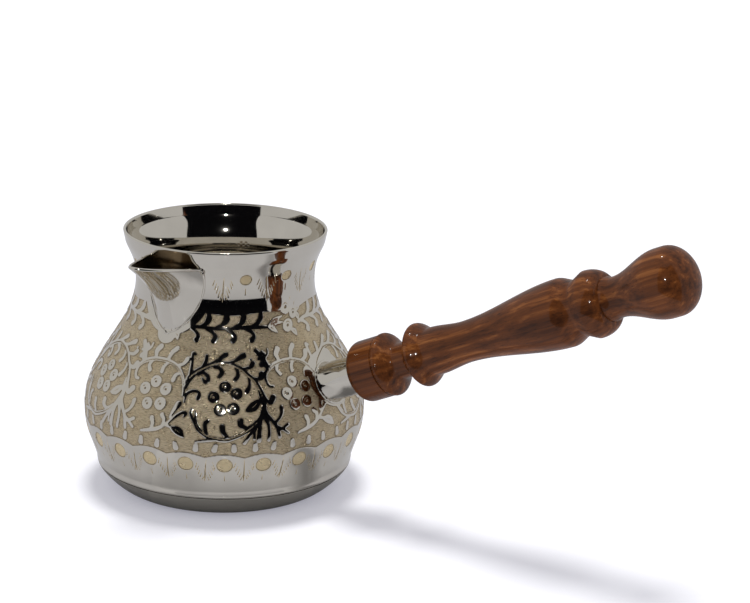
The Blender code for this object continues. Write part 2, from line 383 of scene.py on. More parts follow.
def spout_section(rise, steps):
    """One section of the beak, from its right foot around the nose to its left foot."""
    foot_height = SPOUT_LOW + (SPOUT_CORNER_HEIGHT - SPOUT_LOW) * rise
    half_width = spout_half_width(rise)
    nose_reach, nose_height = nose_point(rise)
    foot_reach = math.sqrt(float(OUTLINE.radius(foot_height)) ** 2 - half_width ** 2)
    roundness = 1.2 - 0.5 * rise
    points = []
    for index in range(steps + 1):
        side = 1.0 - 2.0 * index / steps
        fall = math.hypot(roundness, side) - roundness
        fall /= math.hypot(roundness, 1.0) - roundness
        points.append(Vector((half_width * side,
                              -(nose_reach + (foot_reach - nose_reach) * fall),
                              nose_height + (foot_height - nose_height) * abs(side) ** 1.5)))
    return points


# ---- engraving -------------------------------------------------------------------------
def polar(distance, degrees):
    angle = math.radians(degrees)
    return distance * math.cos(angle), distance * math.sin(angle)


def smooth_path(points, spans=5):
    """A Catmull-Rom curve through the points."""
    points = [np.array(point, float) for point in points]
    if len(points) < 3:
        return np.array(points)
    ends = [2 * points[0] - points[1]] + points + [2 * points[-1] - points[-2]]
    curve = []
    for a, b, c, d in zip(ends, ends[1:], ends[2:], ends[3:]):
        for index in range(spans):
            t = index / spans
            curve.append(0.5 * (2 * b + (c - a) * t + (2 * a - 5 * b + 4 * c - d) * t * t
                                + (3 * b - a - 3 * c + d) * t ** 3))
    curve.append(points[-1])
    return np.array(curve)


class Engraving:
    """Distances in millimetres over the wall, above zero inside a shape.
    Plated holds what is left standing, and cut what is taken out of it."""

    def __init__(self, azimuths, arcs, radii):
        self.azimuths = azimuths
        self.arcs = arcs
        self.radii = radii
        self.plated = np.full((len(arcs), len(azimuths)), -9.0)
        self.cut = np.full((len(arcs), len(azimuths)), -9.0)
        self.place(0.0, 0.0)

    def place(self, azimuth, height):
        """Moves the local origin that strokes are drawn from: x runs around, y runs up."""
        self.azimuth = azimuth
        self.arc = float(OUTLINE.arc(height))

    def stroke(self, layer, points, widths):
        """A line whose half-width changes from point to point along a smooth curve."""
        local = smooth_path(points)
        spread = np.interp(np.linspace(0, 1, len(local)), np.linspace(0, 1, len(widths)), widths)
        margin = spread.max() + 0.6
        low = np.searchsorted(self.arcs, self.arc + local[:, 1].min() - margin)
        high = np.searchsorted(self.arcs, self.arc + local[:, 1].max() + margin)
        if high <= low:
            return
        rows = np.arange(low, high)
        radii = self.radii[rows]
        step = math.tau / len(self.azimuths)
        start = self.azimuth + (local[:, 0].min() - margin) / radii.min()
        end = self.azimuth + (local[:, 0].max() + margin) / radii.min()
        columns = np.arange(math.floor(start / step), math.ceil(end / step) + 1)
        across = (columns * step - self.azimuth)[None, :] * radii[:, None]
        up = np.repeat((self.arcs[rows] - self.arc)[:, None], len(columns), axis=1)
        best = np.full(across.shape, -9.0)
        for (x0, y0), (x1, y1), w0, w1 in zip(local, local[1:], spread, spread[1:]):
            dx, dy = x1 - x0, y1 - y0
            length = max(dx * dx + dy * dy, 1e-9)
            t = np.clip(((across - x0) * dx + (up - y0) * dy) / length, 0.0, 1.0)
            gap = np.hypot(across - x0 - t * dx, up - y0 - t * dy)
            best = np.maximum(best, w0 + (w1 - w0) * t - gap)
        place = np.ix_(rows, columns % len(self.azimuths))
        layer[place] = np.maximum(layer[place], best)

    def leave(self, points, widths):
        self.stroke(self.plated, points, widths)

    def incise(self, points, widths):
        self.stroke(self.cut, points, widths)

    def blob(self, layer, centre, radius, stretch=0.0):
        x, y = centre
        self.stroke(layer, [(x - stretch - 0.01, y), (x + stretch + 0.01, y)],
                    [radius, radius])

    def leaf(self, start, end, width, bow=0.0):
        """A pointed leaf with a cut vein."""
        x0, y0 = start
        x1, y1 = end
        middle = ((x0 + x1) / 2 - (y1 - y0) * bow, (y0 + y1) / 2 + (x1 - x0) * bow)
        self.leave([start, middle, end], [0.22, width * 0.8, width, width * 0.7, 0.12])
        inner = [((x0 * 3 + middle[0]) / 4, (y0 * 3 + middle[1]) / 4), middle,
                 ((x1 + middle[0]) / 2, (y1 + middle[1]) / 2)]
        if width > 0.6:
            self.incise(inner, [0.05, 0.15, 0.03])


def border_field(engraving):
    """The plain plating around the cut ground: above, below, at the beak and the socket."""
    azimuths = engraving.azimuths[None, :]
    arcs = engraving.arcs[:, None]
    radii = engraving.radii[:, None]
    turn = azimuths - DROP_AZIMUTH
    low = OUTLINE.arc(GROUND_LOW) + SCALLOP_RISE * np.abs(np.cos(DROPS * turn / 2))
    low = low + 0.35 * np.sin(3 * azimuths + 0.4)
    high = OUTLINE.arc(GROUND_HIGH) + 0.45 * np.sin(9 * azimuths) + 0.2 * np.sin(5 * azimuths)
    plain = np.maximum(low - arcs, arcs - high)
    across = np.abs(np.angle(np.exp(1j * (azimuths - SPOUT_SIDE)))) * radii
    foot = OUTLINE.arc(SPOUT_LOW)
    rise = np.clip((arcs - foot) / (OUTLINE.arc(SPOUT_CORNER_HEIGHT) - foot), 0.0, 1.0)
    beak = spout_half_width(rise) + SPOUT_MARGIN - across
    below = SPOUT_MARGIN - np.hypot(across, np.minimum(arcs - foot, 0.0))
    plain = np.maximum(plain, np.where(arcs > foot, beak, below))
    around = np.angle(np.exp(1j * azimuths)) * radii
    up = arcs - OUTLINE.arc(SOCKET_HEIGHT)
    plain = np.maximum(plain, SOCKET_MARGIN_RADIUS - np.hypot(around, up))
    return np.where(arcs > OUTLINE.arc(GROUND_HIGH + 3), np.abs(plain) + 1.0, plain)


# Strokes that are left standing, in millimetres around a flower: points, then half-widths.
VINE = ((-13.9, 3.6), (-12.4, 7.1), (-9.8, 9.5), (-6.2, 11.5), (-3.0, 12.7), (-0.6, 12.7),
        (2.4, 12.1), (5.6, 10.4), (7.7, 8.3), (9.8, 6.5), (11.5, 3.8), (13.0, 0.6), (13.3, -3.0))
VINE_WIDTHS = (0.5, 1.0, 0.9, 0.75, 0.65, 0.6, 0.5, 0.5, 0.55, 0.55, 0.55, 0.6, 0.8)
LOWER_VINE = ((-11.8, -3.8), (-12.1, -5.3), (-10.9, -7.7), (-9.5, -10.4), (-7.7, -12.1),
              (-5.9, -13.0), (-3.0, -13.6), (0.0, -13.9), (3.0, -13.0), (5.9, -11.8),
              (8.6, -10.1), (10.7, -8.3), (12.1, -6.2), (13.3, -3.4))
LOWER_WIDTHS = (0.3, 0.45, 0.5, 0.5, 0.45, 0.5, 0.6, 0.65, 0.6, 0.5, 0.5, 0.5, 0.6, 0.8)
INNER_LEAVES = (
    (((-9.5, 8.3), (-7.7, 9.2), (-6.2, 8.0), (-6.1, 6.5), (-7.1, 5.9), (-8.0, 7.1)),
     (0.3, 0.45, 0.6, 0.6, 0.5, 0.3)),
    (((-3.8, 11.3), (-2.1, 10.9), (-1.3, 9.5), (-2.1, 8.1)), (0.4, 0.55, 0.65, 0.6)),
    (((3.3, 11.0), (4.1, 9.5), (4.0, 8.0), (3.2, 6.9)), (0.3, 0.45, 0.55, 0.6)),
    (((7.7, 7.9), (8.2, 5.6), (8.0, 4.1), (7.2, 2.6)), (0.3, 0.35, 0.5, 0.7)),
    (((5.0, -7.5), (5.2, -8.9), (7.1, -9.8), (8.9, -9.2), (10.4, -7.9)),
     (0.95, 0.8, 0.45, 0.4, 0.35)),
    (((-6.0, -7.4), (-7.0, -8.3), (-7.0, -10.1), (-6.5, -12.2)), (0.45, 0.6, 0.5, 0.4)),
    (((-1.2, -9.2), (-0.9, -11.0), (0.4, -12.8)), (0.8, 0.7, 0.5)),
)
OUTER_LEAVES = (
    (((-10.4, 15.4), (-11.3, 15.6), (-11.7, 12.4), (-12.2, 8.6)), (0.35, 0.5, 0.42, 0.6)),
    (((-6.5, 15.1), (-6.9, 13.0), (-8.4, 10.6)), (0.5, 0.55, 0.4)),
    (((0.0, 15.7), (-1.2, 14.8), (-3.0, 13.4), (-5.6, 12.0)), (0.75, 0.6, 0.5, 0.4)),
    (((6.0, 15.2), (5.0, 14.7), (3.0, 13.4), (0.6, 12.7)), (0.95, 0.75, 0.45, 0.4)),
    (((9.3, 12.3), (8.6, 11.2), (7.1, 10.8), (5.4, 10.6)), (0.8, 0.6, 0.4, 0.35)),
    (((12.4, 8.4), (12.2, 7.1), (11.0, 6.8), (9.8, 7.0)), (0.95, 0.85, 0.5, 0.3)),
    (((16.5, -0.3), (15.7, -1.8), (14.5, -1.2), (13.1, 1.2)), (1.1, 0.7, 0.45, 0.3)),
)
SIDE_LEAVES = (
    (((-14.3, -1.4), (-13.6, 1.2), (-11.8, 2.4), (-9.8, 2.5), (-9.1, 1.5), (-9.5, 0.2)),
     (0.3, 0.45, 0.5, 0.4, 0.55, 0.7)),
    (((19.6, -3.8), (19.7, -5.6), (18.9, -7.4), (17.3, -8.8)), (0.65, 0.6, 0.45, 0.35)),
    (((-10.3, -14.7), (-7.1, -14.2), (-3.6, -13.6)), (0.2, 0.4, 0.5)),
    (((-10.4, -4.6), (-10.0, -8.3), (-8.4, -10.9)), (0.2, 0.3, 0.3)),
    (((11.4, 2.6), (11.8, 0.6), (12.2, -1.6)), (0.2, 0.4, 0.3)),
)
FAN = (
    (((13.2, -3.4), (12.6, -6.0), (10.6, -9.2), (8.9, -11.4), (6.4, -15.0)),
     (0.8, 0.55, 0.45, 0.45, 0.5)),
    (((11.0, -9.0), (9.9, -11.2), (9.8, -13.8)), (0.3, 0.3, 0.35)),
    (((13.2, -3.4), (12.4, -6.2), (11.7, -9.8), (11.4, -14.4)), (0.8, 0.5, 0.5, 0.75)),
    (((13.2, -3.4), (13.4, -6.2), (14.7, -9.0), (15.1, -11.4), (14.9, -14.5)),
     (0.8, 0.6, 0.42, 0.42, 0.5)),
    (((13.2, -3.4), (14.0, -5.6), (16.1, -7.9), (17.9, -10.3), (18.9, -13.8)),
     (0.8, 0.7, 0.5, 0.5, 0.55)),
    (((17.6, -10.0), (20.1, -11.3), (22.2, -12.9)), (0.4, 0.42, 0.4)),
    (((19.6, -11.4), (20.6, -10.8), (22.0, -10.0)), (0.3, 0.4, 0.5)),
)
TWIG = (
    (((10.3, 16.7), (11.8, 15.0), (13.2, 13.4), (14.8, 11.0)), (0.6, 0.75, 0.6, 0.5)),
    (((14.5, 16.8), (14.6, 15.2), (13.6, 13.9)), (0.25, 0.32, 0.4)),
    (((12.5, 16.2), (13.0, 14.8)), (0.3, 0.4)),
    (((12.4, 11.7), (12.8, 11.7)), (0.85, 0.85)),
    (((11.3, 13.7), (11.6, 13.7)), (0.35, 0.35)),
)
# The flowers between the large ones have a smaller vine and hang on leaves of their own.
SMALL_VINE = ((-8.4, 3.7), (-9.6, 3.9), (-10.3, 5.6), (-9.8, 8.2), (-7.0, 10.6), (-3.2, 11.9),
              (1.2, 12.0), (5.4, 10.6), (8.4, 7.6), (10.0, 4.2), (10.6, 0.6))
SMALL_WIDTHS = (0.4, 0.45, 0.4, 0.5, 0.65, 0.6, 0.55, 0.5, 0.5, 0.5, 0.3)
SMALL_LEAVES = (
    (((-8.4, 15.2), (-9.4, 13.4), (-8.6, 10.6), (-6.0, 10.9)), (0.8, 0.8, 0.6, 0.5)),
    (((-2.8, 16.4), (-4.0, 14.6), (-3.6, 12.4)), (0.85, 0.8, 0.45)),
    (((3.6, 16.6), (2.2, 15.0), (1.4, 12.4)), (0.8, 0.7, 0.45)),
    (((8.6, 13.4), (7.6, 11.6), (5.6, 10.8)), (0.9, 0.6, 0.4)),
    (((-4.6, 7.6), (-5.4, 9.2), (-4.6, 11.0)), (0.65, 0.5, 0.4)),
    (((0.4, 7.9), (0.6, 9.6), (2.0, 11.6)), (0.6, 0.5, 0.4)),
    (((5.6, 5.6), (6.0, 7.4), (7.6, 8.2)), (0.75, 0.6, 0.4)),
    (((7.9, -7.2), (8.7, -5.0), (9.9, -2.4)), (0.3, 0.6, 1.0)),
    (((7.4, -9.2), (9.8, -6.6), (12.0, -5.1), (13.3, -5.4), (12.7, -6.4)),
     (0.35, 0.5, 0.45, 0.4, 0.3)),
    (((7.2, -10.0), (9.6, -10.7), (12.6, -11.6)), (0.4, 0.35, 0.6)),
    (((-2.6, -13.4), (0.6, -12.6), (3.8, -11.6), (7.4, -9.4)), (0.3, 0.5, 0.5, 0.4)),
    (((1.2, -8.4), (1.8, -10.2), (1.2, -12.4)), (0.75, 0.6, 0.4)),
    (((4.9, -6.8), (6.0, -8.4), (5.4, -10.8)), (0.7, 0.55, 0.4)),
)


def draw(engraving, strokes):
    for points, widths in strokes:
        engraving.leave(points, widths)


def cut_flower(engraving, chance):
    """Five round petals, each with a cut ring, around a bare middle."""
    for index in range(5):
        angle = 97.0 + 72.0 * index + chance.uniform(-5, 5)
        centre = polar(4.3 + chance.uniform(-0.2, 0.2), angle)
        engraving.blob(engraving.plated, centre, 2.0 + chance.uniform(-0.12, 0.12))
        engraving.blob(engraving.cut, (centre[0], centre[1] - 0.1), 0.42)
        engraving.stroke(engraving.cut, [(centre[0] - 1.0, centre[1] - 0.5),
                                         (centre[0] - 0.7, centre[1] + 0.8),
                                         (centre[0] + 0.6, centre[1] + 1.0)],
                         [0.06, 0.2, 0.06])


def cut_medallion(engraving, chance):
    """A flower inside a circling vine with leaves on both sides and a fan at its foot."""
    cut_flower(engraving, chance)
    engraving.leave(VINE, VINE_WIDTHS)
    engraving.leave(LOWER_VINE, LOWER_WIDTHS)
    for strokes in (INNER_LEAVES, OUTER_LEAVES, SIDE_LEAVES, FAN, TWIG):
        draw(engraving, strokes)
    engraving.leaf((11.6, -0.6), (6.8, -4.1), 1.5, 0.08)
    engraving.incise([(x - 0.25, y - 0.3) for x, y in VINE[1:-1]],
                     [0.1, 0.22, 0.24, 0.22, 0.2, 0.22, 0.22, 0.1])
    engraving.incise([(x + 0.2, y + 0.25) for x, y in LOWER_VINE[2:-2]],
                     [0.08, 0.2, 0.2, 0.2, 0.08])
    engraving.blob(engraving.plated, (8.6, 13.7), 0.33)


def cut_small_medallion(engraving, chance):
    """The quieter flower between two large ones."""
    cut_flower(engraving, chance)
    engraving.leave(SMALL_VINE, SMALL_WIDTHS)
    draw(engraving, SMALL_LEAVES)
    engraving.leaf((8.6, -10.6), (13.6, -13.6), 1.35, 0.1)
    engraving.incise([(x, y - 0.25) for x, y in SMALL_VINE[3:-1]], [0.08, 0.2, 0.2, 0.08])


def cut_sprig(engraving, length, chance):
    """A feather of single cuts: a stem with slanting barbs that close in downwards."""
    lean = chance.uniform(-0.6, 0.6)
    engraving.incise([(lean, length * 0.5), (0.0, 0.0), (-lean * 0.6, -length * 0.5)],
                     [0.1, 0.2, 0.24, 0.26, 0.12])
    barbs = 5
    for side in (-1, 1):
        for index in range(barbs):
            part = index / (barbs - 1)
            x = side * (3.1 - 2.3 * part + chance.uniform(-0.15, 0.15))
            y = length * (0.27 - 0.56 * part) + chance.uniform(-0.2, 0.2)
            reach = 1.15 - 0.25 * part + chance.uniform(-0.2, 0.3)
            engraving.incise([(x - side * 0.35, y + reach), (x + side * 0.35, y - reach)],
                             [0.12, 0.24, 0.28, 0.2])


def cut_drop(engraving, radius, stretch, tick):
    """A round of bare brass with a short tick under it."""
    engraving.blob(engraving.cut, (0.0, 0.0), radius, stretch)
    engraving.incise([(0.0, -radius - tick * 0.6), (0.0, -radius - tick * 1.6)],
                     [0.12, 0.28, 0.2])


def cut_ear(engraving, chance):
    """A lying ear of comma leaves on one stem, with three small flowers at its end."""
    engraving.leave([(-12.6, -0.6), (-9, 0.3), (-4, 0.0), (2, 0.0), (9, 0.2), (16.0, -0.2)],
                    [0.4, 0.45, 0.42, 0.45, 0.6, 0.4])
    for index in range(4):
        x = -8.3 + 6.0 * index + chance.uniform(-0.3, 0.3)
        engraving.leave([(x, 0.3), (x + 2.4, 1.5), (x + 3.5, 3.0), (x + 3.6, 4.6)],
                        [0.3, 0.5, 0.85, 0.95, 0.6])
        x = -12.0 + 6.4 * index + chance.uniform(-0.3, 0.3)
        engraving.leave([(x + 0.2, -0.2), (x + 2.4, -1.4), (x + 3.4, -3.0), (x + 2.7, -4.2)],
                        [0.35, 0.5, 0.6, 0.7, 0.85])
        engraving.incise([(x + 1.4, -1.4), (x + 3.0, -2.8)], [0.08, 0.2, 0.06])
    for end in ((21.8, 0.5), (21.4, 2.6), (19.6, -2.6)):
        engraving.leaf((15.6, -0.1), end, 0.75, 0.05)
    for x, y, size in ((24.1, -0.9, 2.1), (23.1, 5.4, 2.3), (26.8, 3.0, 1.8)):
        engraving.blob(engraving.plated, (x, y), size)
        engraving.blob(engraving.cut, (x, y), size * 0.24)
        engraving.incise([(x - size * 0.6, y + size * 0.3), (x, y + size * 0.65),
                          (x + size * 0.6, y + size * 0.2)], [0.06, 0.22, 0.06])
    for start, end in (((27.0, 4.6), (28.2, 7.6)), ((28.2, 2.4), (29.4, 0.4)),
                       ((28.4, 3.4), (30.1, 4.6)), ((24.8, 7.0), (26.2, 9.4)),
                       ((25.6, -2.4), (28.2, -4.8))):
        engraving.leaf(start, end, 0.75, 0.1)


def engrave(azimuths, arcs, radii):
    """Draws the whole pattern; returns the distance to the nearest edge of the plating."""
    chance = random.Random(7)
    work = Engraving(azimuths, arcs, radii)
    for index in range(MEDALLIONS):
        count = index if index <= MEDALLIONS // 2 else index - MEDALLIONS
        work.place(MEDALLION_AZIMUTH + math.tau * count / MEDALLIONS
                   + chance.uniform(-0.006, 0.006), MEDALLION_HEIGHT)
        if count % 2 == 0:
            cut_medallion(work, chance)
        else:
            cut_small_medallion(work, chance)
    for index in range(EARS):
        work.place(EAR_AZIMUTH + math.tau * index / EARS, EAR_HEIGHT)
        cut_ear(work, chance)
    for index in range(2 * DROPS):
        work.place(DROP_AZIMUTH + math.tau * (index + 0.5) / (2 * DROPS), GROUND_LOW + 3.6)
        work.leave([(chance.uniform(-0.3, 0.3), -0.8), (chance.uniform(-0.4, 0.4), 0.9)],
                   [0.85, 0.6])
    plated = np.maximum(work.plated + BURR, border_field(work))
    for index in range(DROPS):
        azimuth = DROP_AZIMUTH + math.tau * index / DROPS
        work.place(azimuth, DROP_HEIGHT + chance.uniform(-0.3, 0.3))
        cut_drop(work, 2.7, 0.12, 2.4)
        work.place(azimuth + math.pi / DROPS, DROP_HEIGHT - 2.4)
        cut_sprig(work, 9.6, chance)
    for index in range(NECK_DROPS):
        azimuth = NECK_DROP_AZIMUTH + math.tau * index / NECK_DROPS
        gap = np.angle(np.exp(1j * (azimuth - SPOUT_SIDE)))
        if abs(gap) > math.radians(24):
            work.place(azimuth, NECK_DROP_HEIGHT)
            cut_drop(work, 1.95, 0.2, 2.1)
        gap += math.pi / NECK_DROPS
        if abs(gap) > math.radians(26):
            work.place(azimuth + math.pi / NECK_DROPS, NECK_DROP_HEIGHT - 3.4)
            cut_sprig(work, 9.2, chance)
    return np.minimum(plated, -work.cut)


# ---- node materials --------------------------------------------------------------------
class Nodes:
    """Short names for building a material's node tree."""

    def __init__(self, name):
        self.material = bpy.data.materials.new(name)
        self.material.use_nodes = True
        self.tree = self.material.node_tree
        self.shader = self.tree.nodes["Principled BSDF"]

    def add(self, kind, **values):
        node = self.tree.nodes.new(kind)
        for key, value in values.items():
            setattr(node, key, value)
        return node

    def link(self, source, target):
        self.tree.links.new(source, target)

    def math(self, operation, first, second):
        node = self.add("ShaderNodeMath", operation=operation)
        for socket, value in zip(node.inputs, (first, second)):
            if isinstance(value, (int, float)):
                socket.default_value = value
            else:
                self.link(value, socket)
        return node.outputs[0]

    def range(self, value, low, high, to_low=0.0, to_high=1.0, smooth=False):
        node = self.add("ShaderNodeMapRange")
        if smooth:
            node.interpolation_type = "SMOOTHSTEP"
        self.link(value, node.inputs["Value"])
        for name, number in (("From Min", low), ("From Max", high),
                             ("To Min", to_low), ("To Max", to_high)):
            node.inputs[name].default_value = number
        return node.outputs["Result"]

    def mix(self, factor, first, second):
        node = self.add("ShaderNodeMix", data_type="RGBA")
        for name, value in (("Factor", factor), ("A", first), ("B", second)):
            socket = next(s for s in node.inputs if s.name == name and s.enabled)
            if isinstance(value, tuple):
                socket.default_value = (*value, 1.0)
            elif isinstance(value, (int, float)):
                socket.default_value = value
            else:
                self.link(value, socket)
        return next(s for s in node.outputs if s.enabled)

    def noise(self, vector, scale, detail=2.0, roughness=0.5):
        node = self.add("ShaderNodeTexNoise")
        self.link(vector, node.inputs["Vector"])
        node.inputs["Scale"].default_value = scale
        node.inputs["Detail"].default_value = detail
        node.inputs["Roughness"].default_value = roughness
        return node.outputs["Fac"]

    def stretched(self, vector, rotation, scale):
        node = self.add("ShaderNodeMapping")
        self.link(vector, node.inputs["Vector"])
        node.inputs["Rotation"].default_value = rotation
        node.inputs["Scale"].default_value = scale
        return node.outputs["Vector"]

    def place(self):
        return self.add("ShaderNodeTexCoord").outputs["Object"]

    def bump(self, height, strength, distance):
        node = self.add("ShaderNodeBump")
        node.inputs["Strength"].default_value = strength
        node.inputs["Distance"].default_value = distance * MM
        self.link(height, node.inputs["Height"])
        self.link(node.outputs["Normal"], self.shader.inputs["Normal"])


NICKEL = (0.680, 0.645, 0.580)
NICKEL_SHADE = (0.625, 0.592, 0.530)
BRASS = (0.580, 0.470, 0.305)
BRASS_LIGHT = (0.700, 0.590, 0.410)
BRASS_DARK = (0.240, 0.180, 0.115)
BRASS_DOT = (0.870, 0.720, 0.460)
WOOD = (0.145, 0.043, 0.011)
WOOD_LIGHT = (0.290, 0.108, 0.030)
WOOD_DARK = (0.042, 0.013, 0.005)
WOOD_PORE = (0.020, 0.008, 0.004)


def nickel_material(name):
    """Polished nickel plating: soft clouding, faint spinning marks and hairline scratches."""
    nodes = Nodes(name)
    place = nodes.place()
    clouds = nodes.noise(place, 90.0, 4.0)
    marks = nodes.noise(nodes.stretched(place, (0, 0, 0), (18.0, 18.0, 900.0)), 1.0, 3.0)
    scratches = nodes.noise(nodes.stretched(place, (0.4, 0.7, 0.2), (2600.0, 60.0, 60.0)), 1.0)
    plating = nodes.mix(nodes.range(clouds, 0.35, 0.75), NICKEL, NICKEL_SHADE)
    dull = nodes.add("ShaderNodeAttribute", attribute_name="dull").outputs["Fac"]
    nodes.link(nodes.mix(dull, plating, BRASS_DARK), nodes.shader.inputs["Base Color"])
    nodes.shader.inputs["Metallic"].default_value = 1.0
    polish = nodes.math("ADD", nodes.range(clouds, 0.3, 0.8, 0.035, 0.075),
                        nodes.range(scratches, 0.62, 0.8, 0.0, 0.08))
    nodes.link(nodes.math("ADD", polish, nodes.math("MULTIPLY", dull, 0.25)),
               nodes.shader.inputs["Roughness"])
    nodes.bump(nodes.math("ADD", marks, nodes.range(scratches, 0.6, 0.8)), 0.12, 0.02)
    return nodes.material


def engraved_material(name):
    """Nickel plating over brass. The wall's own edge distance says where it is cut away."""
    nodes = Nodes(name)
    place = nodes.place()
    edge = nodes.add("ShaderNodeAttribute", attribute_name="plated").outputs["Fac"]
    plated = nodes.range(edge, -0.05, 0.05, smooth=True)
    ground = nodes.range(edge, -0.02, -0.30, smooth=True)
    split = nodes.add("ShaderNodeSeparateXYZ")
    nodes.link(place, split.inputs[0])
    turn = nodes.math("ARCTAN2", split.outputs["Y"], split.outputs["X"])
    wrapped = nodes.add("ShaderNodeCombineXYZ")
    nodes.link(nodes.math("MULTIPLY", turn, 42.0 * MM), wrapped.inputs["X"])
    nodes.link(split.outputs["Z"], wrapped.inputs["Y"])
    flat = wrapped.outputs[0]
    clouds = nodes.noise(place, 90.0, 4.0)
    patches = nodes.noise(place, 420.0, 4.0, 0.6)
    scratch = nodes.noise(nodes.stretched(flat, (0, 0, 0.5), (700.0, 4200.0, 1.0)), 1.0, 3.0)
    cross = nodes.noise(nodes.stretched(flat, (0, 0, -0.7), (800.0, 3600.0, 1.0)), 1.0, 3.0)
    grain = nodes.noise(place, 2600.0, 2.0)
    brass = nodes.mix(nodes.range(patches, 0.35, 0.7), BRASS, BRASS_LIGHT)
    brass = nodes.mix(nodes.range(scratch, 0.50, 0.72), brass, BRASS_DARK)
    height = split.outputs["Z"]
    dots = nodes.math("ADD", nodes.range(height, 24.9 * MM, 25.3 * MM, 1.0, 0.0),
                      nodes.range(height, 72.0 * MM, 73.0 * MM))
    brass = nodes.mix(dots, brass, BRASS_DOT)
    # Painted shade: the brass darkens in a thin line just outside the edge of the plating, at
    # the foot of the cut's wall.
    shade = nodes.math("MULTIPLY", nodes.range(edge, 0.0, -0.1),
                       nodes.range(edge, -0.45, -0.12))
    brass = nodes.mix(nodes.math("MULTIPLY", shade, 0.75), brass, BRASS_DARK)
    nickel = nodes.mix(nodes.range(clouds, 0.35, 0.75), NICKEL, NICKEL_SHADE)
    nodes.link(nodes.mix(plated, brass, nickel), nodes.shader.inputs["Base Color"])
    nodes.shader.inputs["Metallic"].default_value = 1.0
    smooth = nodes.range(clouds, 0.3, 0.8, 0.035, 0.075)
    rough = nodes.range(patches, 0.3, 0.8, 0.24, 0.38)
    gap = nodes.math("SUBTRACT", rough, smooth)
    nodes.link(nodes.math("ADD", smooth, nodes.math("MULTIPLY", gap,
                                                    nodes.math("SUBTRACT", 1.0, plated))),
               nodes.shader.inputs["Roughness"])
    relief = nodes.math("ADD", nodes.math("ADD", scratch, cross),
                        nodes.math("MULTIPLY", grain, 0.5))
    nodes.bump(nodes.math("MULTIPLY", relief, ground), 1.0, 0.2)
    return nodes.material


def wood_material(name, matrix):
    """Dark lacquered hardwood: streaks and pores run along the handle's axis."""
    nodes = Nodes(name)
    place = nodes.place()
    turn = matrix.inverted().to_euler()
    along = nodes.stretched(place, tuple(turn), (1.0, 1.0, 1.0))
    warp = nodes.noise(nodes.stretched(along, (0, 0, 0), (60.0, 60.0, 9.0)), 1.0, 2.0)
    streaks = nodes.noise(nodes.stretched(along, (0, 0, 0), (420.0, 420.0, 14.0)), 1.0, 5.0, 0.6)
    pores = nodes.noise(nodes.stretched(along, (0, 0, 0), (2600.0, 2600.0, 70.0)), 1.0, 3.0)
    tone = nodes.math("ADD", nodes.math("MULTIPLY", streaks, 0.7),
                      nodes.math("MULTIPLY", warp, 0.3))
    base = nodes.mix(nodes.range(tone, 0.38, 0.62), WOOD_DARK, WOOD)
    base = nodes.mix(nodes.range(tone, 0.56, 0.72), base, WOOD_LIGHT)
    base = nodes.mix(nodes.range(pores, 0.60, 0.72, 0.0, 0.75), base, WOOD_PORE)
    nodes.link(base, nodes.shader.inputs["Base Color"])
    nodes.link(nodes.range(pores, 0.4, 0.75, 0.36, 0.52), nodes.shader.inputs["Roughness"])
    nodes.shader.inputs["Specular IOR Level"].default_value = 0.02
    nodes.shader.inputs["Coat Weight"].default_value = 0.4
    nodes.shader.inputs["Coat Roughness"].default_value = 0.1
    nodes.bump(pores, 0.25, 0.05)
    return nodes.material


def machined_material(name, colour, shade, roughness):
    """Bare turned metal: fine turning marks and a few dull patches."""
    nodes = Nodes(name)
    place = nodes.place()
    rings = nodes.noise(nodes.stretched(place, (0, 0, 0), (3000.0, 300.0, 300.0)), 1.0, 3.0)
    patches = nodes.noise(place, 700.0, 3.0)
    nodes.link(nodes.mix(nodes.range(patches, 0.4, 0.7), colour, shade),
               nodes.shader.inputs["Base Color"])
    nodes.shader.inputs["Metallic"].default_value = 1.0
    nodes.link(nodes.range(rings, 0.3, 0.7, roughness, roughness + 0.2),
               nodes.shader.inputs["Roughness"])
    nodes.bump(rings, 0.4, 0.05)
    return nodes.material


# ---- the pot's body --------------------------------------------------------------------
def wall_rows():
    """Distances up the outer wall at which the body has a ring, close where it is engraved."""
    low, high = OUTLINE.arc(ENGRAVED_LOW), OUTLINE.arc(ENGRAVED_HIGH)
    top = OUTLINE.arcs[-1]
    return np.concatenate((np.arange(0.0, low, 1.2), np.arange(low, high, ROW_STEP),
                           np.arange(high, top - 0.6, 0.6), [top]))


